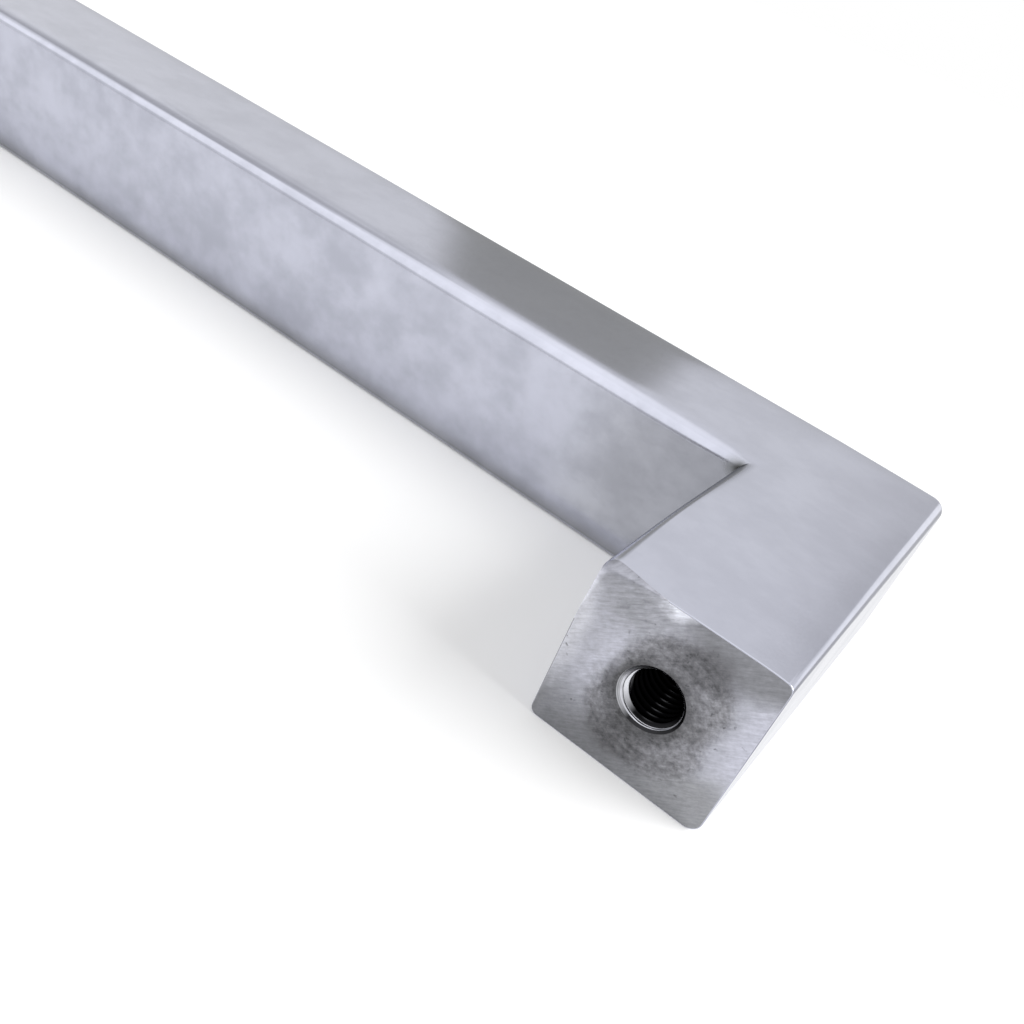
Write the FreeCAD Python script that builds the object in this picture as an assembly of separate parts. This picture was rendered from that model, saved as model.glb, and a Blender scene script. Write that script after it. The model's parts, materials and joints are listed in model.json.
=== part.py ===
import FreeCAD, Part
import math
import os

# A pull handle made of solid square bar: a straight grip on two square legs, mitred, welded
# and dressed flush, with a tapped hole in each foot for a screw that comes through the door.
# X runs along the grip and Y points away from the door. The origin is midway between the
# two screw holes, on the plane that the feet stand on.

# Bar and overall sizes, in millimetres
bar_side = 25.0  # across the flats of the square bar, the same in the grip and the legs
hole_centres = 300.0  # from one screw hole to the other
finger_clearance = 40.0  # from the plane of the feet to the inner face of the grip

# Rounding of the four long edges of the bar, as left by dressing them by hand
outer_upper_radius = 1.2
outer_lower_radius = 1.8
inner_upper_radius = 2.0
inner_lower_radius = 1.1
turn_radius = 2.5  # of the outer edge where the grip turns into a leg

# Tapped hole in each foot, for an M8 screw
drill_diameter = 6.8  # tapping size, and the wall that the thread is cut into
drilled_depth = 26.0  # from the face of the foot to the shoulder of the drill point
drill_point_angle = 118.0  # whole angle, in degrees
mouth_diameter = 8.8  # of the countersink, on the face of the foot
mouth_angle = 90.0  # whole angle, in degrees

# Worked out from the sizes above
half_bar = bar_side / 2
hole_reach = hole_centres / 2
outer_reach = hole_reach + half_bar
inner_reach = hole_reach - half_bar
projection = finger_clearance + bar_side
hair = 0.01  # how far a point may lie from a plane and still count as on it


def point(x, y, z):
    return FreeCAD.Vector(x, y, z)


def rounded_turn(side):
    """The arc of the outer outline where the grip meets the leg on that side, -1 or 1."""
    centre_x = side * (outer_reach - turn_radius)
    centre_y = projection - turn_radius
    part_way = turn_radius * math.sin(math.radians(45))
    on_leg = point(side * outer_reach, centre_y, -half_bar)
    between = point(centre_x + side * part_way, centre_y + part_way, -half_bar)
    on_grip = point(centre_x, projection, -half_bar)
    return on_leg, between, on_grip


def bridge():
    """The square-edged bridge: its outline seen from above, drawn up through the bar's side."""
    left_low, left_mid, left_high = rounded_turn(-1)
    right_low, right_mid, right_high = rounded_turn(1)
    left_foot_out = point(-outer_reach, 0, -half_bar)
    left_foot_in = point(-inner_reach, 0, -half_bar)
    left_inner = point(-inner_reach, finger_clearance, -half_bar)
    right_inner = point(inner_reach, finger_clearance, -half_bar)
    right_foot_in = point(inner_reach, 0, -half_bar)
    right_foot_out = point(outer_reach, 0, -half_bar)
    edges = [
        Part.makeLine(left_foot_out, left_low),
        Part.Arc(left_low, left_mid, left_high).toShape(),
        Part.makeLine(left_high, right_high),
        Part.Arc(right_high, right_mid, right_low).toShape(),
        Part.makeLine(right_low, right_foot_out),
        Part.makeLine(right_foot_out, right_foot_in),
        Part.makeLine(right_foot_in, right_inner),
        Part.makeLine(right_inner, left_inner),
        Part.makeLine(left_inner, left_foot_in),
        Part.makeLine(left_foot_in, left_foot_out),
    ]
    return Part.Face(Part.Wire(edges)).extrude(point(0, 0, bar_side))


def long_edges(body, level, outer):
    """The edges at a height that run round the outside or the inside of the bridge, foot to foot."""
    found = []
    for edge in body.Edges:
        box = edge.BoundBox
        at_level = abs(box.ZMin - level) < hair and abs(box.ZMax - level) < hair
        on_foot = box.YMax < hair
        middle = edge.valueAt((edge.FirstParameter + edge.LastParameter) / 2)
        inside = abs(middle.x) < inner_reach + hair and middle.y < finger_clearance + hair
        if at_level and not on_foot and inside != outer:
            found.append(edge)
    return found


def dressed(body):
    """The bridge with its long edges rounded. The feet keep their sharp rims."""
    roundings = [
        (half_bar, True, outer_upper_radius),
        (-half_bar, True, outer_lower_radius),
        (half_bar, False, inner_upper_radius),
        (-half_bar, False, inner_lower_radius),
    ]
    for level, outer, radius in roundings:
        body = body.makeFillet(radius, long_edges(body, level, outer))
    return body


def hole_cutter(x):
    """The drilled and countersunk hole, as a solid of revolution about the screw's axis."""
    drill = drill_diameter / 2
    mouth = mouth_diameter / 2
    mouth_slope = math.tan(math.radians(mouth_angle / 2))
    point_length = drill / math.tan(math.radians(drill_point_angle / 2))
    overrun = drill  # how far the countersink runs on in front of the foot
    mouth_depth = (mouth - drill) / mouth_slope
    profile = Part.makePolygon([
        point(x, -overrun, 0),
        point(x + mouth + overrun * mouth_slope, -overrun, 0),
        point(x + drill, mouth_depth, 0),
        point(x + drill, drilled_depth, 0),
        point(x, drilled_depth + point_length, 0),
        point(x, -overrun, 0),
    ])
    return Part.Face(profile).revolve(point(x, 0, 0), point(0, 1, 0), 360)


def pull_handle():
    body = dressed(bridge())
    for side in (-1, 1):
        body = body.cut(hole_cutter(side * hole_reach))
    return body


os.makedirs("parts", exist_ok=True)
handle = pull_handle()
handle.exportStep("parts/pull_handle.step")
print("pull_handle", handle.ShapeType, handle.isValid(), "solids", len(handle.Solids),
      "volume mm3", round(handle.Volume, 1), "box", handle.BoundBox)
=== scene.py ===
import json
import math

import bmesh
import bpy
from mathutils import Euler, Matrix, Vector, noise


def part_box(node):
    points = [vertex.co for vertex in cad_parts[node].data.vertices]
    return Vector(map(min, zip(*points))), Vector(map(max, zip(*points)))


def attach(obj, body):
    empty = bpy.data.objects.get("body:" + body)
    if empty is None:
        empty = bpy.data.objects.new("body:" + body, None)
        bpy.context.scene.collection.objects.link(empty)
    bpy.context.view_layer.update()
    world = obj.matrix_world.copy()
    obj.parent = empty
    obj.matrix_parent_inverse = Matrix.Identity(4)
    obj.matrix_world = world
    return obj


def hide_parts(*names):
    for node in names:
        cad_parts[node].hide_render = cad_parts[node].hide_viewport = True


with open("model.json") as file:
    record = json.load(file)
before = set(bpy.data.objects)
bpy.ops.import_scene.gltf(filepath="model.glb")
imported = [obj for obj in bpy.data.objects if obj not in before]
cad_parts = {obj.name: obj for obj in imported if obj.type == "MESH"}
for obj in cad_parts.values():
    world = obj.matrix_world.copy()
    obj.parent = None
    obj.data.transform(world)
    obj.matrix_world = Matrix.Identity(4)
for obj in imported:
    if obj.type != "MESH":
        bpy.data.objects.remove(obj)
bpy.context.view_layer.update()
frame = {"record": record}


# The bar: 25 mm square stainless bar in three lengths, mitred at the two turns, welded and ground
# flush, so that no seam shows. The four long edges were then dressed by hand, each to a rounding of
# its own, and the buff rolled the flats over a little beside them.
mm = 0.001
handle_low, handle_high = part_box("pull_handle")
half_bar = handle_high.z
bar_side = 2 * half_bar
outer_reach = handle_high.x
projection = handle_high.y
inner_reach = outer_reach - bar_side
finger_clearance = projection - bar_side
turn_radius = 2.5 * mm

# The roundings of the outside and inside edges. A roll is how far a flat is rolled over, and its
# slope where the rounding starts. Growth is the share by which the upper rounding has grown at the
# turn, easing that by which the top's roll is less steep on the legs, and tightening that by which
# the upper rounding is smaller halfway down the legs.
outside_edges = {
    "upper": 1.2 * mm,
    "lower": 1.8 * mm,
    "top roll": (5.0 * mm, math.radians(5)),
    "side roll": (1.5 * mm, math.radians(2)),
    "growth": 0.7,
    "easing": 0.0,
    "tightening": 0.0,
}
inside_edges = {
    "upper": 2.0 * mm,
    "lower": 1.1 * mm,
    "top roll": (3.5 * mm, math.radians(11.5)),
    "side roll": (2.5 * mm, math.radians(3)),
    "growth": 0.0,
    "easing": 0.75,
    "tightening": 0.4,
}
growth_on_leg = 60 * mm  # from the turn, over which the growth dies out down the leg
growth_on_grip = 18 * mm  # the same along the grip
easing_length = 20 * mm  # from the turn, over which the roll eases down the leg
uneven = 0.07  # share by which hand dressing lets a rounding vary along the bar
uneven_length = 17 * mm  # from one high spot to the next
cramped_loss = 0.22  # share by which a rounding shrinks into the corners, where the buff has no room
cramped_length = 16 * mm
roll_steps = 6
rounding_steps = 12
flat_steps = 16
leg_steps = 16
turn_steps = 10
grip_steps = 120
turn_room = 8 * mm  # from a corner to the last stop before it, which keeps clear of the mitre
same_place = 0.001 * mm  # two points closer than this are one


def mirrored(vector):
    """The same place or direction on the other leg. A missing corner stays missing."""
    return vector and Vector((-vector.x, vector.y, 0))


def across_grip(half_route, reach):
    """Carries half a route over the grip, between two stops at a reach, and down the other leg."""
    last, inward, _ = half_route[-1]
    straight = Vector((0, math.copysign(1, inward.y), 0))
    middle = []
    for step in range(grip_steps + 1):
        x = reach * (2 * step / grip_steps - 1)
        middle.append((Vector((x, last.y, 0)), straight, None))
    other = [tuple(mirrored(vector) for vector in stop) for stop in reversed(half_route)]
    return half_route + middle + other


def outer_route():
    """The outer outline from the left foot to the right, as (point, direction into the metal, corner)."""
    corner = Vector((-outer_reach, projection, 0))
    centre = corner + Vector((turn_radius, -turn_radius, 0))
    half_route = []
    for step in range(leg_steps + 1):
        spot = Vector((-outer_reach, (projection - turn_room) * step / leg_steps, 0))
        half_route.append((spot, Vector((1, 0, 0)), None))
    for step in range(turn_steps + 1):
        angle = math.pi / 2 * step / turn_steps
        inward = Vector((math.cos(angle), -math.sin(angle), 0))
        half_route.append((centre - turn_radius * inward, inward, corner))
    return across_grip(half_route, outer_reach - turn_room)


def inner_route():
    """The same along the inside, where the turns stay sharp and the roundings meet in a mitre."""
    half_route = []
    for step in range(leg_steps):
        spot = Vector((-inner_reach, finger_clearance * step / leg_steps, 0))
        half_route.append((spot, Vector((-1, 0, 0)), None))
    half_route.append((Vector((-inner_reach, finger_clearance, 0)), Vector((-1, 1, 0)), None))
    return across_grip(half_route, inner_reach - turn_radius)


def into_metal(spot, inward, corner, depth):
    """A point at a depth from the outline. Past the middle of an outer turn it follows the mitre."""
    past = max(0.0, depth - turn_radius) if corner else 0.0
    mitre = Vector((math.copysign(past, -spot.x), -past, 0))
    return spot + inward * (depth - past) + mitre


def dressed(size, spot, seed):
    """A size left by hand dressing, at a place along the bar."""
    swing = noise.noise(Vector((spot.x / uneven_length, spot.y / uneven_length, seed)))
    from_turn = math.hypot(abs(spot.x) - inner_reach, spot.y - finger_clearance)
    cramped = max(0.0, 1 - from_turn / cramped_length)
    return size * (1 + uneven * swing) * (1 - cramped_loss * cramped * cramped)


def side_profile(spot, edges, seed):
    """One side of the bar from top to bottom as (distance into the metal, height, outward, upward)."""
    from_turn = (projection - spot.y) / growth_on_leg + (outer_reach - abs(spot.x)) / growth_on_grip
    down_leg = min(1.0, max(0.0, (finger_clearance - spot.y) / easing_length))
    halfway = math.sin(math.pi * min(1.0, spot.y / finger_clearance))
    changed = 1 + edges["growth"] * max(0.0, 1 - from_turn) - edges["tightening"] * halfway
    high = dressed(edges["upper"], spot, seed) * changed
    low = dressed(edges["lower"], spot, seed + 5)
    top_length = dressed(edges["top roll"][0], spot, seed + 11)
    top_slope = edges["top roll"][1] * (1 - edges["easing"] * down_leg)
    side_length, side_slope = edges["side roll"]
    turned = math.pi / 2 - top_slope - side_slope
    runs = []
    for step in range(roll_steps):
        share = (step + 0.5) / roll_steps
        runs.append((top_slope * share * share, top_length / roll_steps))
    for step in range(rounding_steps):
        share = (step + 0.5) / rounding_steps
        runs.append((top_slope + turned * share, high * turned / rounding_steps))
    for step in range(roll_steps):
        share = 1 - (step + 0.5) / roll_steps
        runs.append((math.pi / 2 - side_slope * share * share, side_length / roll_steps))
    depth = sum(length * math.cos(angle) for angle, length in runs)
    height = half_bar
    rows = [(depth, height, 0, 1)]
    for angle, length in runs:
        depth = max(0.0, depth - length * math.cos(angle))
        height -= length * math.sin(angle)
        rows.append((depth, height, math.sin(angle), math.cos(angle)))
    for step in range(1, flat_steps):
        share = step / flat_steps
        rows.append((0, height * (1 - share) - (half_bar - low) * share, 1, 0))
    for step in range(rounding_steps + 1):
        angle = math.pi / 2 * step / rounding_steps
        rows.append((low * (1 - math.cos(angle)), -half_bar + low * (1 - math.sin(angle)),
                     math.cos(angle), -math.sin(angle)))
    return rows


def side_grid(mesh, route, edges, seed):
    """Sweeps the profile along a route. Each vertex keeps its section's normal for the foot's rim."""
    grid = []
    for spot, inward, corner in route:
        column = []
        for depth, height, out, up in side_profile(corner or spot, edges, seed):
            vertex = mesh.verts.new(into_metal(spot, inward, corner, depth) + Vector((0, 0, height)))
            column.append((vertex, Vector((-inward.x * out, 0, up))))
        grid.append(column)
    for here, there in zip(grid, grid[1:]):
        for row in range(len(here) - 1):
            mesh.faces.new([here[row][0], there[row][0], there[row + 1][0], here[row + 1][0]])
    return grid


def across_flat(mesh, start, end, normal):
    """Vertices across the end of a flat, between the edges of two roundings."""
    made = []
    for step in range(1, flat_steps):
        spot = start.co.lerp(end.co, step / flat_steps)
        made.append((mesh.verts.new(spot), Vector((0, 0, normal))))
    return made


def flat_face(mesh, row, left_run, right_run):
    """The top or bottom flat of the whole bridge, between the same row of both sides."""
    outline = [column[row][0] for column in outside] + right_run
    outline += [column[row][0] for column in reversed(inside)] + left_run
    befores = outline[-1:] + outline
    mesh.faces.new([v for v, before in zip(outline, befores) if (v.co - before.co).length > same_place])


handle_mesh = bmesh.new()
outside = side_grid(handle_mesh, outer_route(), outside_edges, 1.5)
inside = side_grid(handle_mesh, inner_route(), inside_edges, 8.5)
foot_rims = {}
end_runs = {}
for side, station in ((-1, 0), (1, -1)):
    out_column, in_column = outside[station], inside[station]
    top_run = across_flat(handle_mesh, in_column[0][0], out_column[0][0], 1)
    bottom_run = across_flat(handle_mesh, out_column[-1][0], in_column[-1][0], -1)
    foot_rims[side] = top_run + out_column + bottom_run + list(reversed(in_column))
    end_runs[side] = [v for v, _ in top_run], [v for v, _ in bottom_run]
flat_face(handle_mesh, 0, end_runs[-1][0], list(reversed(end_runs[1][0])))
flat_face(handle_mesh, -1, list(reversed(end_runs[-1][1])), end_runs[1][1])


def linear(hex_colour):
    """An sRGB hex colour as linear red, green, blue and alpha."""
    channels = []
    for start in (1, 3, 5):
        value = int(hex_colour[start:start + 2], 16) / 255
        channels.append(value / 12.92 if value <= 0.04045 else ((value + 0.055) / 1.055) ** 2.4)
    return (*channels, 1)


def add(tree, kind, inputs=None, **settings):
    """Adds a node, sets its settings, and fills or links its inputs."""
    node = tree.nodes.new(kind)
    for name, value in settings.items():
        setattr(node, name, value)
    for socket, value in (inputs or {}).items():
        if isinstance(value, bpy.types.NodeSocket):
            tree.links.new(value, node.inputs[socket])
        else:
            node.inputs[socket].default_value = value
    return node


def new_material(name):
    material = bpy.data.materials.new(name)
    material.use_nodes = True
    material.node_tree.nodes.clear()
    return material


# Polished stainless steel, buffed to a soft mirror. It mirrors the room in blurred patches, with
# faint clouds 9 mm across that are strongest on the inside of the grip, where only a small wheel
# could reach.
polished = new_material("polished_stainless_steel")
tree = polished.node_tree
coordinates = add(tree, "ShaderNodeTexCoord")
place = coordinates.outputs["Object"]
facing = add(tree, "ShaderNodeSeparateXYZ", {"Vector": coordinates.outputs["Normal"]})
inside_face = add(tree, "ShaderNodeMapRange", {
    "Value": facing.outputs["Y"], "From Min": -0.5, "From Max": -0.95, "To Min": 0.45, "To Max": 1.0})
cloud_size = 9 * mm
cloud_place = add(tree, "ShaderNodeMapping", {"Vector": place, "Scale": (0.85, 1.0, 1.1)})
clouds = add(tree, "ShaderNodeTexNoise", {
    "Vector": cloud_place.outputs["Vector"], "Scale": 1 / cloud_size, "Detail": 4.0, "Roughness": 0.6})
cloud_edge = add(tree, "ShaderNodeMapRange", {
    "Value": clouds.outputs["Fac"], "From Min": 0.30, "From Max": 0.70}, interpolation_type="SMOOTHSTEP")
cloudy = add(tree, "ShaderNodeMath", {
    0: cloud_edge.outputs["Result"], 1: inside_face.outputs["Result"]}, operation="MULTIPLY")
steel = add(tree, "ShaderNodeMix", {
    "Factor": cloudy.outputs["Value"], "A": linear("#C2C4D1"), "B": linear("#AEB0BC")}, data_type="RGBA")

# Painted shade along the leg's inner edge and into the inner corner, which the wheel could only graze,
# where dried buffing compound also dulls the steel: a soft dark line that widens towards the corner,
# darkest in the mitre.
shade_line_at_foot = 0.6  # half the line's width, in millimetres
shade_line_at_corner = 2.25
shade_line_below_top = 1.15
shade_line_overrun = 1.8 * mm  # past the corner
mitre_shade_place = (0.3, 0.0, -1.3)  # of the dark spot in the mitre, in millimetres from the corner of the top
parts = add(tree, "ShaderNodeSeparateXYZ", {"Vector": place})
either_side = add(tree, "ShaderNodeMath", {0: parts.outputs["X"]}, operation="ABSOLUTE")
folded = add(tree, "ShaderNodeCombineXYZ", {
    "X": either_side.outputs["Value"], "Y": parts.outputs["Y"], "Z": parts.outputs["Z"]})
from_corner = add(tree, "ShaderNodeVectorMath", {
    0: folded.outputs["Vector"], 1: (inner_reach, finger_clearance, half_bar)}, operation="SUBTRACT")
from_corner_mm = add(tree, "ShaderNodeVectorMath", {
    0: from_corner.outputs["Vector"], "Scale": 1 / mm}, operation="SCALE")
from_edge = add(tree, "ShaderNodeVectorMath", {
    0: from_corner_mm.outputs["Vector"], 1: (1.0, 0.0, 1.0), 2: (0.0, 0.0, shade_line_below_top)},
    operation="MULTIPLY_ADD")
edge_distance = add(tree, "ShaderNodeVectorMath", {0: from_edge.outputs["Vector"]}, operation="LENGTH")
half_width = add(tree, "ShaderNodeMapRange", {
    "Value": parts.outputs["Y"], "From Max": finger_clearance,
    "To Min": shade_line_at_foot, "To Max": shade_line_at_corner})
edge_share = add(tree, "ShaderNodeMath", {
    0: edge_distance.outputs["Value"], 1: half_width.outputs["Result"]}, operation="DIVIDE")
# The painted shade line, with the compound's dullness
shade_line = add(tree, "ShaderNodeMapRange", {
    "Value": edge_share.outputs["Value"], "From Min": 1.2, "From Max": 0.3, "To Max": 0.85},
    interpolation_type="SMOOTHSTEP")
on_leg = add(tree, "ShaderNodeMapRange", {
    "Value": parts.outputs["Y"], "From Min": finger_clearance + shade_line_overrun,
    "From Max": finger_clearance - 0.2 * mm}, interpolation_type="SMOOTHSTEP")
shade_and_dullness = add(tree, "ShaderNodeMath", {
    0: shade_line.outputs["Result"], 1: on_leg.outputs["Result"]}, operation="MULTIPLY")
edge_shaded = add(tree, "ShaderNodeMix", {
    "Factor": shade_and_dullness.outputs["Value"], "A": steel.outputs["Result"], "B": linear("#888A8D")},
    data_type="RGBA")
# A dark spot of painted shade deep in the mitre
from_mitre_shade = add(tree, "ShaderNodeVectorMath", {
    0: from_corner_mm.outputs["Vector"], 1: mitre_shade_place}, operation="SUBTRACT")
mitre_shade_distance = add(tree, "ShaderNodeVectorMath", {0: from_mitre_shade.outputs["Vector"]}, operation="LENGTH")
mitre_shade = add(tree, "ShaderNodeMapRange", {
    "Value": mitre_shade_distance.outputs["Value"], "From Min": 1.5, "From Max": 0.1, "To Max": 0.92},
    interpolation_type="SMOOTHSTEP")
mitre_shaded = add(tree, "ShaderNodeMix", {
    "Factor": mitre_shade.outputs["Result"], "A": edge_shaded.outputs["Result"], "B": linear("#3A3A38")},
    data_type="RGBA")

# The grain that the buff leaves is some 0.05 mm across, too fine to show, and is drawn as 0.4 mm.
grain_size = 0.4 * mm
grain = add(tree, "ShaderNodeTexNoise", {"Vector": place, "Scale": 1 / grain_size, "Detail": 2.0})
cloud_gloss = add(tree, "ShaderNodeMapRange", {
    "Value": cloudy.outputs["Value"], "To Min": 0.16, "To Max": 0.23})
grain_gloss = add(tree, "ShaderNodeMapRange", {
    "Value": grain.outputs["Fac"], "From Min": 0.3, "From Max": 0.7, "To Min": -0.02, "To Max": 0.02})
dull_loss = 0.22  # roughness that the dried compound adds
dull_gloss = add(tree, "ShaderNodeMath", {
    0: shade_and_dullness.outputs["Value"], 1: dull_loss, 2: cloud_gloss.outputs["Result"]}, operation="MULTIPLY_ADD")
gloss = add(tree, "ShaderNodeMath", {
    0: dull_gloss.outputs["Value"], 1: grain_gloss.outputs["Result"]}, operation="ADD")
# Along the same line the painted shade and the dried compound also take most of the gleam
# that steel has at a low angle
gleam = add(tree, "ShaderNodeMix", {
    "Factor": shade_and_dullness.outputs["Value"], "A": linear("#FFFFFF"), "B": linear("#9C9CA0")}, data_type="RGBA")
skin = add(tree, "ShaderNodeBsdfPrincipled", {
    "Base Color": mitre_shaded.outputs["Result"], "Metallic": 1.0,
    "Roughness": gloss.outputs["Value"], "Specular Tint": gleam.outputs["Result"]})
add(tree, "ShaderNodeOutputMaterial", {"Surface": skin.outputs["BSDF"]})


# The feet: the sawn ends of the legs, ground flat on a belt. Their rims were left crisp, with only
# the burr taken off, but the inner upper corner has been rubbed round and blends into the top.
burr_break = 0.13 * mm
rubbed_round = 1.4 * mm  # more rounding than that, at the very corner
rubbed_length = 9 * mm  # from the corner, over which the rubbing dies out
break_steps = 6
ground_slot = 1


def foot_rim(mesh, rim, worn_spot):
    """Turns the end of the bar over its broken rim onto the ground face, and returns its outline."""
    loops = [[] for _ in range(break_steps + 1)]
    for vertex, normal in rim:
        wear = max(0.0, 1 - (vertex.co - worn_spot).length / rubbed_length)
        size = burr_break + rubbed_round * wear * wear * (3 - 2 * wear)
        end = vertex.co.copy()
        vertex.co.y += size
        loops[0].append(vertex)
        for step in range(1, break_steps + 1):
            angle = math.pi / 2 * step / break_steps
            spot = end - normal.normalized() * size * (1 - math.cos(angle))
            spot.y += size * (1 - math.sin(angle))
            loops[step].append(mesh.verts.new(spot))
    for here, there in zip(loops, loops[1:]):
        for index in range(len(here)):
            face = mesh.faces.new([here[index - 1], here[index], there[index], there[index - 1]])
            if (here[index].co - worn_spot).length < rubbed_length:
                face.material_index = ground_slot
    return loops[-1]


foot_outlines = {}
for side in (-1, 1):
    rubbed_spot = Vector((side * inner_reach, 0, half_bar))
    foot_outlines[side] = foot_rim(handle_mesh, foot_rims[side], rubbed_spot)
hole_reach = (outer_reach + inner_reach) / 2


def about_hole(tree):
    """A point's X, Y and Z, its place across from the hole's axis, and its way from the axis.

    The last two are the same on both legs."""
    place = add(tree, "ShaderNodeTexCoord").outputs["Object"]
    parts = add(tree, "ShaderNodeSeparateXYZ", {"Vector": place})
    either_side = add(tree, "ShaderNodeMath", {0: parts.outputs["X"]}, operation="ABSOLUTE")
    across = add(tree, "ShaderNodeMath", {
        0: either_side.outputs["Value"], 1: hole_reach}, operation="SUBTRACT")
    off_axis = add(tree, "ShaderNodeCombineXYZ", {"X": across.outputs["Value"], "Z": parts.outputs["Z"]})
    return parts, across.outputs["Value"], off_axis.outputs["Vector"]


def mark(tree, colour, place, middle, reach, edge, strength, paint):
    """Lays a soft oval mark over a colour. Middle and reach are in millimetres across and up the foot."""
    from_middle = add(tree, "ShaderNodeVectorMath", {
        0: place, 1: (middle[0], 0, middle[1])}, operation="SUBTRACT")
    shares = add(tree, "ShaderNodeVectorMath", {
        0: from_middle.outputs["Vector"], 1: (1 / reach[0], 0, 1 / reach[1])}, operation="MULTIPLY")
    away = add(tree, "ShaderNodeVectorMath", {0: shares.outputs["Vector"]}, operation="LENGTH")
    depth = add(tree, "ShaderNodeMapRange", {
        "Value": away.outputs["Value"], "From Min": 1 + edge, "From Max": 1 - edge, "To Max": strength},
        interpolation_type="SMOOTHSTEP")
    painted = add(tree, "ShaderNodeMix", {
        "Factor": depth.outputs["Result"], "A": colour, "B": linear(paint)}, data_type="RGBA")
    return painted.outputs["Result"], depth.outputs["Result"]


# Stainless steel ground on a belt, which leaves streaks of fine scratches, and then handled: oil from
# tapping has soaked a grey stain round the hole, wiped in arcs, and the rim is rubbed bright in places.
# Painted shade darkens the face towards the table, and a painted highlight lies near the top rim.
ground = new_material("belt_ground_stainless_steel")
tree = ground.node_tree
_, _, off_axis = about_hole(tree)
in_mm = add(tree, "ShaderNodeVectorMath", {0: off_axis, "Scale": 1 / mm}, operation="SCALE")
foot_place = in_mm.outputs["Vector"]

# The stains wander by a millimetre or two, in lobes of some 3 mm with ragged edges
lobe_size = 3.2
wander_reach = 2.8
lobes = add(tree, "ShaderNodeTexNoise", {
    "Vector": foot_place, "Scale": 1 / lobe_size, "Detail": 5.0, "Roughness": 0.6})
lobe_shift = add(tree, "ShaderNodeVectorMath", {
    0: lobes.outputs["Color"], 1: (0.5, 0.5, 0.5)}, operation="SUBTRACT")
lobe_way = add(tree, "ShaderNodeVectorMath", {
    0: lobe_shift.outputs["Vector"], "Scale": wander_reach}, operation="SCALE")
wandering = add(tree, "ShaderNodeVectorMath", {
    0: foot_place, 1: lobe_way.outputs["Vector"]}, operation="ADD").outputs["Vector"]

# Handling has left paler and duller patches on the ground steel, some 5 mm across. Then come the
# marks, from the ground steel up, each with its middle and reach in millimetres from the hole.
patch_size = 5.0
patches = add(tree, "ShaderNodeTexNoise", {
    "Vector": foot_place, "Scale": 1 / patch_size, "Detail": 3.0, "Roughness": 0.55})
fresh = add(tree, "ShaderNodeMix", {
    "Factor": patches.outputs["Fac"], "A": linear("#D0D1DE"), "B": linear("#BDBEC9")}, data_type="RGBA")
colour = fresh.outputs["Result"]
depths = {}
for what, middle, reach, edge, strength, paint in (
    # The first two marks are painted shade, darkening the face towards the table
    ("painted shade lower left", (-5.0, -13.5), (12.5, 8.5), 0.65, 1.0, "#87888C"),
    ("painted shade lower right", (9.0, -10.0), (8.5, 6.5), 0.55, 1.0, "#95969A"),
    ("scratched upper left", (-5.4, 9.5), (4.4, 3.4), 0.60, 1.0, "#B3B4BD"),
    ("pale left edge", (-12.6, 3.0), (1.9, 8.0), 0.60, 0.9, "#ECEDF8"),
    ("grey corner", (-10.4, 12.2), (2.8, 2.0), 0.60, 1.0, "#AEAFB9"),
    ("handled right", (8.6, 3.0), (3.2, 7.0), 0.50, 1.0, "#B0B1BB"),
    ("bare right", (12.6, 2.9), (2.2, 5.2), 0.60, 1.0, "#BEBFCB"),
    ("dull top", (7.4, 12.2), (8.8, 4.4), 0.40, 1.0, "#86878C"),
    ("stain", (1.7, 3.0), (7.1, 6.5), 0.18, 0.88, "#808084"),
    ("lower stain", (0.6, -3.4), (7.8, 6.7), 0.18, 0.85, "#7E7E82"),
    ("stain above", (3.4, 7.6), (4.2, 2.6), 0.50, 1.0, "#6C6C70"),
    ("stain below", (-1.6, -7.6), (3.8, 2.8), 0.50, 1.0, "#6C6C6F"),
    ("oil", (-0.2, -0.3), (5.7, 5.7), 0.25, 0.90, "#565658"),
    # A painted highlight near the top rim
    ("painted highlight near the rim", (-2.2, 13.0), (2.0, 2.0), 0.45, 1.0, "#F2F4FF"),
):
    colour, depths[what] = mark(tree, colour, wandering, middle, reach, edge, strength, paint)

soaked = add(tree, "ShaderNodeMath", {0: depths["stain"], 1: depths["lower stain"]}, operation="MAXIMUM")

# Wiping has left arcs about the hole, a millimetre wide, in the oil stain
arc_width = 0.9
arc_spread = 1.3
arc_middle = (0.8, 0, -0.4)
from_middle = add(tree, "ShaderNodeVectorMath", {0: foot_place, 1: arc_middle}, operation="SUBTRACT")
arc_radius = add(tree, "ShaderNodeVectorMath", {0: from_middle.outputs["Vector"]}, operation="LENGTH")
arc_row = add(tree, "ShaderNodeMath", {0: arc_radius.outputs["Value"], 1: arc_width}, operation="DIVIDE")
arc_way = add(tree, "ShaderNodeVectorMath", {0: from_middle.outputs["Vector"]}, operation="NORMALIZE")
arc_side = add(tree, "ShaderNodeVectorMath", {
    0: arc_way.outputs["Vector"], "Scale": arc_spread}, operation="SCALE")
arc_out = add(tree, "ShaderNodeCombineXYZ", {"Y": arc_row.outputs["Value"]})
arc_place = add(tree, "ShaderNodeVectorMath", {
    0: arc_side.outputs["Vector"], 1: arc_out.outputs["Vector"]}, operation="ADD")
arcs = add(tree, "ShaderNodeTexNoise", {
    "Vector": arc_place.outputs["Vector"], "Scale": 1.0, "Detail": 4.0, "Roughness": 0.6})
arc_low = add(tree, "ShaderNodeMapRange", {
    "Value": soaked.outputs["Value"], "To Min": 1.0, "To Max": 0.82})
arc_high = add(tree, "ShaderNodeMapRange", {
    "Value": soaked.outputs["Value"], "To Min": 1.0, "To Max": 1.24})
arc_tone = add(tree, "ShaderNodeMapRange", {
    "Value": arcs.outputs["Fac"], "From Min": 0.36, "From Max": 0.66,
    "To Min": arc_low.outputs["Result"], "To Max": arc_high.outputs["Result"]})

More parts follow.
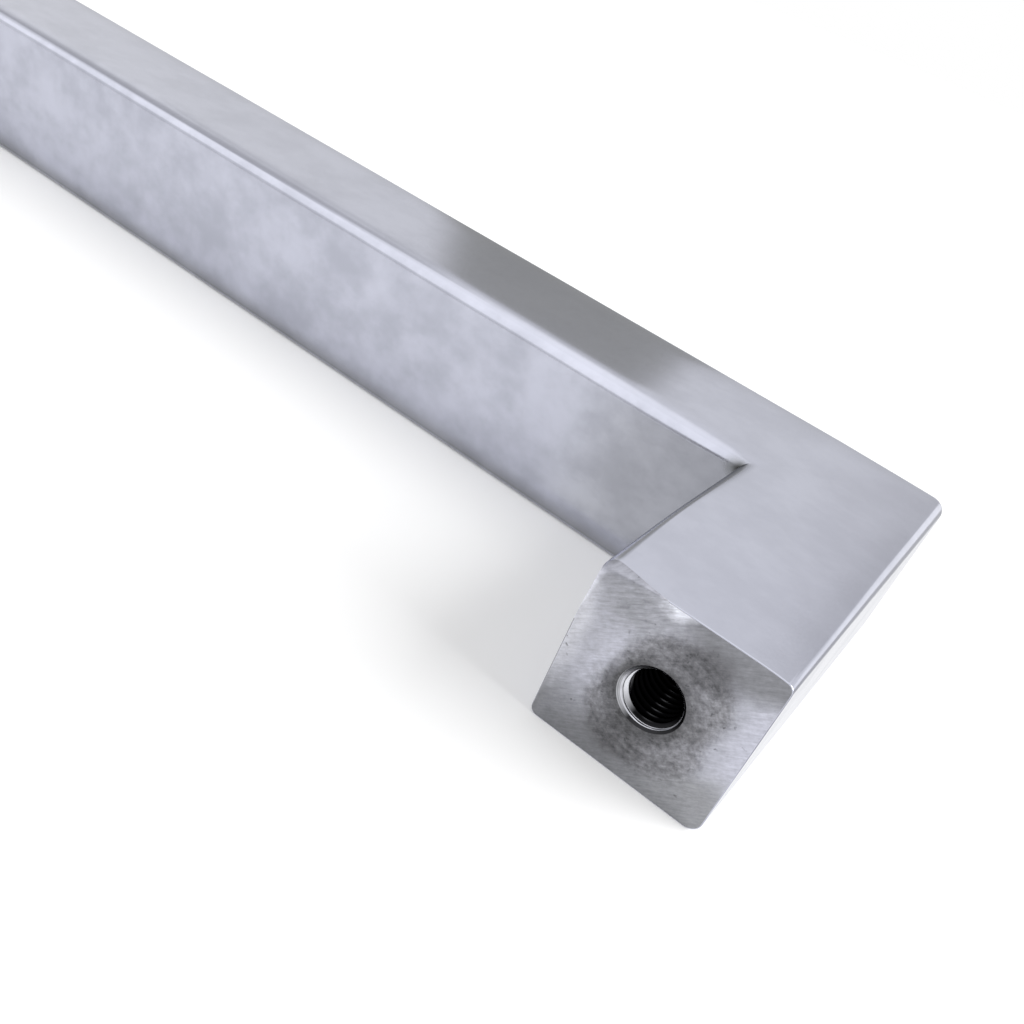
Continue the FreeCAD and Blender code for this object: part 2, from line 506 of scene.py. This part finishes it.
# Belt scratches are a few hundredths of a millimetre wide, too fine to show, and are drawn as
# streaks 0.35 mm wide and 2.5 mm long. The belt ran at a slant to the bar.
belt_angle = math.radians(34)
streak_width = 0.35
streak_stretch = 0.14
turned = add(tree, "ShaderNodeVectorRotate", {
    "Vector": foot_place, "Angle": belt_angle}, rotation_type="Y_AXIS")
streak_place = add(tree, "ShaderNodeMapping", {
    "Vector": turned.outputs["Vector"], "Scale": (streak_stretch, 1.0, 1.0)})
streaks = add(tree, "ShaderNodeTexNoise", {
    "Vector": streak_place.outputs["Vector"], "Scale": 1 / streak_width, "Detail": 5.0,
    "Roughness": 0.72})
streak_low = add(tree, "ShaderNodeMapRange", {
    "Value": depths["scratched upper left"], "To Min": 0.82, "To Max": 0.62})
streak_tone = add(tree, "ShaderNodeMapRange", {
    "Value": streaks.outputs["Fac"], "From Min": 0.30, "From Max": 0.70,
    "To Min": streak_low.outputs["Result"], "To Max": 1.18})

# Grit has pitted the stain in grains of a millimetre and less, light and dark
pit_size = 0.9
pitting = add(tree, "ShaderNodeTexNoise", {
    "Vector": foot_place, "Scale": 1 / pit_size, "Detail": 6.0, "Roughness": 0.74})
pit_low = add(tree, "ShaderNodeMapRange", {
    "Value": soaked.outputs["Value"], "To Min": 0.88, "To Max": 0.45})
pit_high = add(tree, "ShaderNodeMapRange", {
    "Value": soaked.outputs["Value"], "To Min": 1.12, "To Max": 1.50})
pit_tone = add(tree, "ShaderNodeMapRange", {
    "Value": pitting.outputs["Fac"], "From Min": 0.30, "From Max": 0.70,
    "To Min": pit_low.outputs["Result"], "To Max": pit_high.outputs["Result"]})
scuffed = add(tree, "ShaderNodeMath", {
    0: streak_tone.outputs["Result"], 1: pit_tone.outputs["Result"]}, operation="MULTIPLY")
wiped = add(tree, "ShaderNodeMath", {
    0: scuffed.outputs["Value"], 1: arc_tone.outputs["Result"]}, operation="MULTIPLY")

# Where the rubbed corner turns up towards the top its colour is darkened, a painted shade
top_facing = add(tree, "ShaderNodeSeparateXYZ", {
    "Vector": add(tree, "ShaderNodeTexCoord").outputs["Normal"]})
upturned_shade = add(tree, "ShaderNodeMapRange", {
    "Value": top_facing.outputs["Z"], "From Min": 0.05, "From Max": 0.75, "To Min": 1.0, "To Max": 0.74})
toned = add(tree, "ShaderNodeMath", {
    0: wiped.outputs["Value"], 1: upturned_shade.outputs["Result"]}, operation="MULTIPLY")
shaded = add(tree, "ShaderNodeVectorMath", {
    0: colour, "Scale": toned.outputs["Value"]}, operation="SCALE")

# Specks of dried oil and grit, about a millimetre apart, in the stain and in the duller patches
speck_spacing = 1.2
specks = add(tree, "ShaderNodeTexVoronoi", {"Vector": wandering, "Scale": 1 / speck_spacing})
speck = add(tree, "ShaderNodeMapRange", {
    "Value": specks.outputs["Distance"], "From Min": 0.19, "From Max": 0.06, "To Max": 0.62})
speck_patches = add(tree, "ShaderNodeMapRange", {
    "Value": patches.outputs["Fac"], "From Min": 0.50, "From Max": 0.62})
speck_field = add(tree, "ShaderNodeMath", {
    0: speck_patches.outputs["Result"], 1: soaked.outputs["Value"]}, operation="MAXIMUM")
speck_share = add(tree, "ShaderNodeMath", {
    0: speck.outputs["Result"], 1: speck_field.outputs["Value"]}, operation="MULTIPLY")
specked = add(tree, "ShaderNodeMix", {
    "Factor": speck_share.outputs["Value"], "A": shaded.outputs["Vector"], "B": linear("#38383A")},
    data_type="RGBA")

gloss = add(tree, "ShaderNodeMapRange", {
    "Value": streaks.outputs["Fac"], "From Min": 0.3, "From Max": 0.7, "To Min": 0.42, "To Max": 0.33})
scratch_depth = 0.03 * mm
height = add(tree, "ShaderNodeMath", {
    0: streaks.outputs["Fac"], 1: pitting.outputs["Fac"]}, operation="ADD")
relief = add(tree, "ShaderNodeBump", {
    "Height": height.outputs["Value"], "Strength": 0.5, "Distance": scratch_depth})
skin = add(tree, "ShaderNodeBsdfPrincipled", {
    "Base Color": specked.outputs["Result"], "Metallic": 1.0, "Roughness": gloss.outputs["Result"],
    "Normal": relief.outputs["Normal"]})
add(tree, "ShaderNodeOutputMaterial", {"Surface": skin.outputs["BSDF"]})


# The screw holes: drilled and countersunk after grinding, then tapped M8, a 1.25 mm right-hand
# thread of 60 degrees that runs out before the drill point. Cutting oil and dirt stay inside.
holes = [m for m in frame["record"]["mounts"] if m["kind"] == "threaded_hole"]
drill_radius = holes[0]["dims"]["r_mm"] * mm
thread_pitch = 1.25 * mm
thread_radius = 4.0 * mm
thread_length = 21 * mm
thread_fade = 1.5 * thread_pitch  # over which the thread runs out
thread_angle = math.radians(60)
root_flat = thread_pitch / 8
flank_slope = math.tan(thread_angle / 2)
mouth_radius = 4.4 * mm
drilled_depth = 26 * mm
drill_point_angle = math.radians(118)
drill_point_depth = drill_radius / math.tan(drill_point_angle / 2)
hole_segments = 112
row_height = thread_pitch / 14
tapped_slot = 2


def hole_wall(angle, depth):
    """How far the hole's wall lies from its axis: the widest of drill, countersink and thread."""
    along = (depth / thread_pitch - angle / (2 * math.pi)) % 1
    from_root = min(along, 1 - along) * thread_pitch
    cut = thread_radius - max(0.0, from_root - root_flat / 2) / flank_slope
    left = min(1.0, max(0.0, (thread_length - depth) / thread_fade))
    threaded = drill_radius + (cut - drill_radius) * left
    return max(drill_radius, threaded, mouth_radius - depth)


def hole_ring(mesh, centre_x, depth, radius_at):
    """One ring of vertices round a hole's axis."""
    made = []
    for index in range(hole_segments):
        angle = 2 * math.pi * index / hole_segments
        radius = radius_at(angle)
        x = centre_x + radius * math.sin(angle)
        made.append(mesh.verts.new((x, depth, radius * math.cos(angle))))
    return made


def loop_edges(mesh, loop):
    """The edges of a closed loop of vertices, made where they are missing."""
    found = []
    for index in range(len(loop)):
        pair = (loop[index - 1], loop[index])
        found.append(mesh.edges.get(pair) or mesh.edges.new(pair))
    return found


for hole in holes:
    hole_x = hole["pos_m"][0]
    rings = [hole_ring(handle_mesh, hole_x, 0, lambda angle: mouth_radius)]
    depth = row_height
    while depth < thread_length:
        rings.append(hole_ring(handle_mesh, hole_x, depth, lambda angle: hole_wall(angle, depth)))
        depth += row_height
    rings.append(hole_ring(handle_mesh, hole_x, drilled_depth, lambda angle: drill_radius))
    cut_faces = []
    for here, there in zip(rings, rings[1:]):
        for index in range(hole_segments):
            patch = [here[index - 1], here[index], there[index], there[index - 1]]
            cut_faces.append(handle_mesh.faces.new(patch))
    tip = handle_mesh.verts.new((hole_x, drilled_depth + drill_point_depth, 0))
    for index in range(hole_segments):
        cut_faces.append(handle_mesh.faces.new([rings[-1][index - 1], rings[-1][index], tip]))
    for face in cut_faces:
        face.material_index = tapped_slot
    foot_outline = foot_outlines[1 if hole_x > 0 else -1]
    foot_edges = loop_edges(handle_mesh, foot_outline) + loop_edges(handle_mesh, rings[0])
    filled = bmesh.ops.triangle_fill(handle_mesh, use_beauty=True, edges=foot_edges)
    for face in filled["geom"]:
        if isinstance(face, bmesh.types.BMFace):
            face.material_index = ground_slot


# Tapped steel, cut bright, with dark cutting oil in it and painted shade for the depth of the hole.
# Only the first turns on the side of the leg's inside stay bright. Deeper in it is black but for the
# crests at the bottom, which glint.
tapped = new_material("tapped_stainless_steel_oil_and_shade")
tree = tapped.node_tree
parts, across, off_axis = about_hole(tree)
from_axis = add(tree, "ShaderNodeVectorMath", {0: off_axis}, operation="LENGTH")
sideways = add(tree, "ShaderNodeMath", {0: across, 1: from_axis.outputs["Value"]}, operation="DIVIDE")
upward = add(tree, "ShaderNodeMath", {
    0: parts.outputs["Z"], 1: from_axis.outputs["Value"]}, operation="DIVIDE")
# How deep the wall stays bright before the oil and the painted shade turn it black
bright_depth_inside = 1.6 * mm  # how deep the wall is wiped clean on the side of the leg's inside
bright_depth_elsewhere = 0.25 * mm
darkening_fade = 1.1 * mm  # from clean steel to black oil
bright_depth = add(tree, "ShaderNodeMapRange", {
    "Value": sideways.outputs["Value"], "From Min": -1.0, "From Max": -0.2,
    "To Min": bright_depth_inside, "To Max": bright_depth_elsewhere})
beyond_bright = add(tree, "ShaderNodeMath", {
    0: parts.outputs["Y"], 1: bright_depth.outputs["Result"]}, operation="SUBTRACT")
oil_and_shade = add(tree, "ShaderNodeMapRange", {
    "Value": beyond_bright.outputs["Value"], "From Max": darkening_fade}, interpolation_type="SMOOTHSTEP")

# Away from that side the clean steel darkens in painted shade. In the countersink it is duller in rings
# too, which the bit has left a tenth of a millimetre wide. They are drawn as 0.2 mm.
far_side_shade = add(tree, "ShaderNodeMapRange", {
    "Value": sideways.outputs["Value"], "From Min": -1.0, "From Max": -0.3})
ring_width = 0.2 * mm
ring_row = add(tree, "ShaderNodeMath", {0: from_axis.outputs["Value"], 1: ring_width}, operation="DIVIDE")
rings_cut = add(tree, "ShaderNodeTexNoise", {
    "W": ring_row.outputs["Value"], "Scale": 1.0, "Detail": 2.0}, noise_dimensions="1D")
ring_tone = add(tree, "ShaderNodeMapRange", {
    "Value": rings_cut.outputs["Fac"], "From Min": 0.35, "From Max": 0.65, "To Min": 0.15, "To Max": 0.65})
in_countersink = add(tree, "ShaderNodeMapRange", {
    "Value": from_axis.outputs["Value"], "From Min": thread_radius - 0.05 * mm,
    "From Max": thread_radius + 0.1 * mm, "To Max": ring_tone.outputs["Result"]})
side_shade_and_rings = add(tree, "ShaderNodeMath", {
    0: far_side_shade.outputs["Result"], 1: in_countersink.outputs["Result"]}, operation="MAXIMUM")
bright_steel_and_side_shade = add(tree, "ShaderNodeMix", {
    "Factor": side_shade_and_rings.outputs["Value"], "A": linear("#DCDDE3"), "B": linear("#2C2C2E")}, data_type="RGBA")

# The glints: the crests of the thread in a narrow sector at the bottom of the hole, brighter deep in
crest_height = 0.14 * mm  # over which a crest dulls to black
crest_flat = 0.02 * mm  # of which this much is bright
glint_start = 2.5 * mm  # the depth down to which the crests glint faintly
glint_full = 6.0 * mm  # the depth from which they glint most
crest = add(tree, "ShaderNodeMapRange", {
    "Value": from_axis.outputs["Value"], "From Min": drill_radius + crest_height,
    "From Max": drill_radius + crest_flat})
glinting = add(tree, "ShaderNodeMapRange", {
    "Value": sideways.outputs["Value"], "From Min": -0.05, "From Max": 0.15, "To Max": 1.0})
glint_end = add(tree, "ShaderNodeMapRange", {
    "Value": sideways.outputs["Value"], "From Min": 0.12, "From Max": 0.45, "To Min": 1.0, "To Max": 0.0})
glint_depth = add(tree, "ShaderNodeMapRange", {
    "Value": parts.outputs["Y"], "From Min": glint_start, "From Max": glint_full, "To Min": 0.35})
lower_half = add(tree, "ShaderNodeMapRange", {
    "Value": upward.outputs["Value"], "From Min": 0.1, "From Max": -0.5,
    "To Max": glint_depth.outputs["Result"]})
glint_part = add(tree, "ShaderNodeMath", {
    0: glinting.outputs["Result"], 1: glint_end.outputs["Result"]}, operation="MULTIPLY")
glint_low = add(tree, "ShaderNodeMath", {
    0: glint_part.outputs["Value"], 1: lower_half.outputs["Result"]}, operation="MULTIPLY")
glint = add(tree, "ShaderNodeMath", {
    0: crest.outputs["Result"], 1: glint_low.outputs["Value"]}, operation="MULTIPLY")
shaded_wall_and_glints = add(tree, "ShaderNodeMix", {
    "Factor": glint.outputs["Value"], "A": linear("#060607"), "B": linear("#77787C")}, data_type="RGBA")
wall = add(tree, "ShaderNodeMix", {
    "Factor": oil_and_shade.outputs["Result"], "A": bright_steel_and_side_shade.outputs["Result"],
    "B": shaded_wall_and_glints.outputs["Result"]}, data_type="RGBA")

# A painted highlight: a bright hairline round the countersink, where the edge of the first thread catches
# the light
rim_highlight_reach = 0.06 * mm  # to either side of the thread's own radius
rim_highlight_end = 0.9 * mm  # the depth at which it has faded out
rim_highlight = add(tree, "ShaderNodeMath", {
    0: from_axis.outputs["Value"], 1: thread_radius, 2: rim_highlight_reach}, operation="COMPARE")
at_mouth = add(tree, "ShaderNodeMapRange", {
    "Value": parts.outputs["Y"], "From Min": rim_highlight_end, "From Max": rim_highlight_end - 0.15 * mm,
    "To Max": 0.8})
rim_highlight_share = add(tree, "ShaderNodeMath", {
    0: rim_highlight.outputs["Value"], 1: at_mouth.outputs["Result"]}, operation="MULTIPLY")
highlighted_wall = add(tree, "ShaderNodeMix", {
    "Factor": rim_highlight_share.outputs["Value"], "A": wall.outputs["Result"], "B": linear("#D5D6DE")},
    data_type="RGBA")

# The oil and the painted shade take the gleam that steel has at a low angle
skin = add(tree, "ShaderNodeBsdfPrincipled", {
    "Base Color": highlighted_wall.outputs["Result"], "Metallic": 1.0, "Roughness": 0.28,
    "Specular Tint": linear("#4A4A4C")})
add(tree, "ShaderNodeOutputMaterial", {"Surface": skin.outputs["BSDF"]})


# The finished handle: one piece of metal, whose flats stay flat and whose roundings are smooth. Only
# the sharp rims of the feet, the mouths of the holes and the mitres show as creases.
weld_gap = 0.0005 * mm
bmesh.ops.remove_doubles(handle_mesh, verts=handle_mesh.verts, dist=weld_gap)
bmesh.ops.recalc_face_normals(handle_mesh, faces=handle_mesh.faces)
crease = math.radians(35)
for edge in handle_mesh.edges:
    cut_by_tap = all(face.material_index == tapped_slot for face in edge.link_faces)
    edge.smooth = cut_by_tap or edge.calc_face_angle(0.0) < crease
for face in handle_mesh.faces:
    face.smooth = True


def placed(name, data):
    """Makes an object of a mesh, lamp or camera and puts it in the scene."""
    made = bpy.data.objects.new(name, data)
    bpy.context.scene.collection.objects.link(made)
    return made


handle_data = bpy.data.meshes.new("pull_handle_finished")
handle_mesh.to_mesh(handle_data)
handle_mesh.free()
for material in (polished, ground, tapped):
    handle_data.materials.append(material)
handle = placed("pull_handle_finished", handle_data)
weighted = handle.modifiers.new("flats_stay_flat", "WEIGHTED_NORMAL")
weighted.keep_sharp = True
weighted.weight = 100  # the largest face at a vertex alone sets its normal
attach(handle, "root")
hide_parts("pull_handle")


# The floor: a round table top covered with white paper, on which the handle lies on its side. It
# shows white to the camera and in the metal, with the handle's own soft shadow on it.
floor_radius = 0.8
floor_gap = 0.02 * mm
floor_height = handle_low.z - floor_gap
floor_mesh = bmesh.new()
bmesh.ops.create_circle(floor_mesh, cap_ends=True, radius=floor_radius, segments=128)
floor_data = bpy.data.meshes.new("floor")
floor_mesh.to_mesh(floor_data)
floor_mesh.free()
floor = placed("floor", floor_data)
floor.location = (0, 0, floor_height)


def seen_or_mirrored(tree):
    """1 for the camera's own rays and for those that leave metal or glass, and 0 for the rest."""
    rays = add(tree, "ShaderNodeLightPath")
    in_metal = add(tree, "ShaderNodeMath", {
        0: rays.outputs["Is Glossy Ray"], 1: rays.outputs["Is Transmission Ray"]}, operation="MAXIMUM")
    seen = add(tree, "ShaderNodeMath", {
        0: rays.outputs["Is Camera Ray"], 1: in_metal.outputs["Value"]}, operation="MAXIMUM")
    return seen.outputs["Value"]


paper = new_material("matt_white_paper")
tree = paper.node_tree
matt = add(tree, "ShaderNodeBsdfDiffuse", {"Color": linear("#F2F2F2")})
lift = add(tree, "ShaderNodeMath", {0: seen_or_mirrored(tree), 1: 0.08}, operation="MULTIPLY")
glow = add(tree, "ShaderNodeEmission", {"Strength": lift.outputs["Value"]})
whole = add(tree, "ShaderNodeAddShader", {0: matt.outputs["BSDF"], 1: glow.outputs["Emission"]})
add(tree, "ShaderNodeOutputMaterial", {"Surface": whole.outputs["Shader"]})
floor_data.materials.append(paper)


# The room round the table is white. It shows at full white, and lights the handle at a little over
# half of that, so that the lamps still shape it.
world = bpy.data.worlds.new("white_room")
bpy.context.scene.world = world
world.use_nodes = True
tree = world.node_tree
tree.nodes.clear()
level = add(tree, "ShaderNodeMapRange", {"Value": seen_or_mirrored(tree), "To Min": 0.52, "To Max": 1.0})
sky = add(tree, "ShaderNodeBackground", {"Color": (1, 1, 1, 1), "Strength": level.outputs["Result"]})
add(tree, "ShaderNodeOutputWorld", {"Surface": sky.outputs["Background"]})


# The cards: sheets of paper and film that stand round the table to be mirrored in the metal, as for
# any photo of polished steel. They show nowhere else, light nothing and throw no shadow.
def ramp(tree, direction, start, end, low, high):
    """A value that runs from low to high between two places along a direction."""
    at = add(tree, "ShaderNodeVectorMath", {
        0: add(tree, "ShaderNodeTexCoord").outputs["Object"], 1: direction}, operation="DOT_PRODUCT")
    run = add(tree, "ShaderNodeMapRange", {
        "Value": at.outputs["Value"], "From Min": start, "From Max": end, "To Min": low, "To Max": high},
        interpolation_type="SMOOTHSTEP")
    return run.outputs["Result"]


def card(name, corners, colour, strength=1.0, grade=None, clear=()):
    """Stands up a card. Grade ramps its brightness, and each ramp in clear lets the room show through."""
    finish = new_material(name)
    finish.cycles.emission_sampling = "NONE"
    tree = finish.node_tree
    brightness = strength
    if grade:
        brightness = ramp(tree, *grade)
    glow = add(tree, "ShaderNodeEmission", {"Color": linear(colour), "Strength": brightness})
    surface = glow.outputs["Emission"]
    for direction, start, end, low, high in clear:
        nothing = add(tree, "ShaderNodeBsdfTransparent")
        surface = add(tree, "ShaderNodeMixShader", {
            0: ramp(tree, direction, start, end, low, high), 1: surface,
            2: nothing.outputs["BSDF"]}).outputs["Shader"]
    add(tree, "ShaderNodeOutputMaterial", {"Surface": surface})
    sheet = bpy.data.meshes.new(name)
    sheet.from_pydata(corners, [], [tuple(range(len(corners)))])
    sheet.materials.append(finish)
    made = placed(name, sheet)
    made.visible_camera = False
    made.visible_shadow = False
    made.visible_diffuse = False


def cut_out(y, outline):
    """The corners of a card of any outline that stands across the table, in metres."""
    return [(x, y, z) for x, z in outline]


def upright(y, left, right, low, high):
    """The same for a rectangle."""
    return cut_out(y, ((left, low), (right, low), (right, high), (left, high)))


def level_sheet(height, left, right, front, back):
    """The corners of a card that lies level, in metres."""
    return [(left, front, height), (right, front, height), (right, back, height), (left, back, height)]


# Behind: a white wall at the table's edge that pales upward, with a small grey card near the grip
# that darkens the middle of its top, a paler shelf above it and a grey card at the side for the leg,
# a bright window for its outer edge, and a bright ceiling for the inner edge of the grip.
card("back_wall", upright(floor_radius, -1.4, 0.9, floor_height, 0.46), "#FFFFFF",
     grade=((0, 0, 1), 0.10, 0.46, 0.72, 1.0))
card_place = 0.200
grey_outline = ((-0.030, 0.010), (0.089, 0.040), (0.061, 0.098), (-0.030, 0.102))
card("grey_card", cut_out(card_place, grey_outline), "#ABABA6",
     clear=[((1, 0, 0), -0.026, -0.004, 1.0, 0.0)])
card("grey_shelf", upright(card_place + 2 * mm, -0.16, 0.06, 0.098, 0.130), "#E4E4E4")
side_place = 0.45
side_outline = ((0.08, 0.04), (0.25, 0.04), (0.25, 0.10), (0.32, 0.20), (0.32, 0.31), (0.08, 0.31))
card("side_card", cut_out(side_place, side_outline), "#DEDEDE",
     clear=[((1, 0, 0), 0.08, 0.18, 1.0, 0.0)])
card("window", upright(side_place + 2 * mm, 0.25, 0.56, floor_height, 0.17), "#FFFFFF", 1.3)
card("ceiling", level_sheet(1.2, -2.2, 0.7, 0.15, 1.45), "#FFFFFF",
     grade=((1, 0, 0), -0.98, -0.62, 0.64, 1.4))

# On the table: a white sheet close to the leg and a grey one beyond it, for the leg's outer edge, and
# two sheets of painted shade for the metal to mirror: a soft one where the grip meets its own
# reflection, and one in the inner corner.
sheet_gap = 0.03 * mm
on_floor = floor_height + sheet_gap
sheets_meet = 0.176
card("white_sheet", level_sheet(on_floor, outer_reach, sheets_meet, -0.02, 0.16), "#FFFFFF", 1.1)
card("grey_sheet", level_sheet(on_floor, sheets_meet, 0.42, -0.02, 0.50), "#CECECE")
shades_meet = 0.0335
shade_end = -0.35
card("contact_shade", level_sheet(on_floor, -inner_reach, inner_reach, shades_meet, finger_clearance),
     "#96958C", clear=[((0, 1, 0), shades_meet, finger_clearance, 1.0, 0.25)])
card("corner_shade", level_sheet(on_floor, 0.02, inner_reach, shade_end, shades_meet),
     "#FFFFFB", grade=((1, -0.3, 0), 0.094, 0.128, 0.92, 0.64),
     clear=[((1, -0.3, 0), 0.092, 0.110, 1.0, 0.0), ((0, 1, 0), shade_end, -0.25, 1.0, 0.0)])

# In front: a dark card for the end of the grip's inner edge and the rim of the foot, and to its left
# a pale rail for the rest of that edge.
front_place = -0.35
front_outline = ((0.022, 0.0), (0.07, 0.0), (0.09, 0.07), (0.20, 0.07), (0.20, 0.17), (0.022, 0.17))
card("front_card", cut_out(front_place, front_outline), "#797979")
card("left_rail", upright(-0.9, -0.9, 0.02, floor_height, 0.08), "#EDEDED")


# The lamps: two large soft boxes, the key from the right and behind, and a wider one overhead in
# front. They light the floor and the ground feet, and the polished steel mostly mirrors the cards.
lamp_distance = 2.6
lit_middle = Vector((0.1, 0.03, 0))


def soft_box(name, azimuth, elevation, size, watts):
    """A square area lamp turned to the handle. Azimuth 0 is behind it and 90 is to its right."""
    round_by, up_by = math.radians(azimuth), math.radians(elevation)
    level = math.cos(up_by)
    way = Vector((math.sin(round_by) * level, math.cos(round_by) * level, math.sin(up_by)))
    data = bpy.data.lights.new(name, "AREA")
    data.size = size
    data.energy = watts
    made = placed(name, data)
    made.location = lit_middle + lamp_distance * way
    made.rotation_mode = "QUATERNION"
    made.rotation_quaternion = way.to_track_quat("Z", "Y")
    return made


soft_box("key", 72, 34, 2.0, 70.0)
overhead_size = 3.4
overhead = soft_box("overhead", 215, 52, overhead_size, 28.0)
overhead.visible_glossy = False

# The metal mirrors the overhead box as an even white film, which is free of the lamp's noise
half_size = overhead_size / 2
film_corners = []
for x, y in ((-1, -1), (1, -1), (1, 1), (-1, 1)):
    on_box = Vector((x * half_size, y * half_size, 0))
    film_corners.append(overhead.location + overhead.rotation_quaternion @ on_box)
card("overhead_film", film_corners, "#FFFFFF", 1.48)


# The camera: close above the near foot, looking back along the grip. Its place, turn and lens were
# fitted to the edges of the bar in the photo.
camera_data = bpy.data.cameras.new("camera")
camera = placed("camera", camera_data)
camera.location = (0.16661, -0.09898, 0.07612)
camera.rotation_euler = Euler([math.radians(a) for a in (50.217, -16.19, 37.927)])
camera_data.sensor_width = 36
camera_data.lens = 37.709
camera_data.shift_x = 0.0742
camera_data.shift_y = 0.0994
camera_data.clip_start = 0.001
bpy.context.scene.camera = camera
bpy.context.scene.view_settings.view_transform = "Standard"
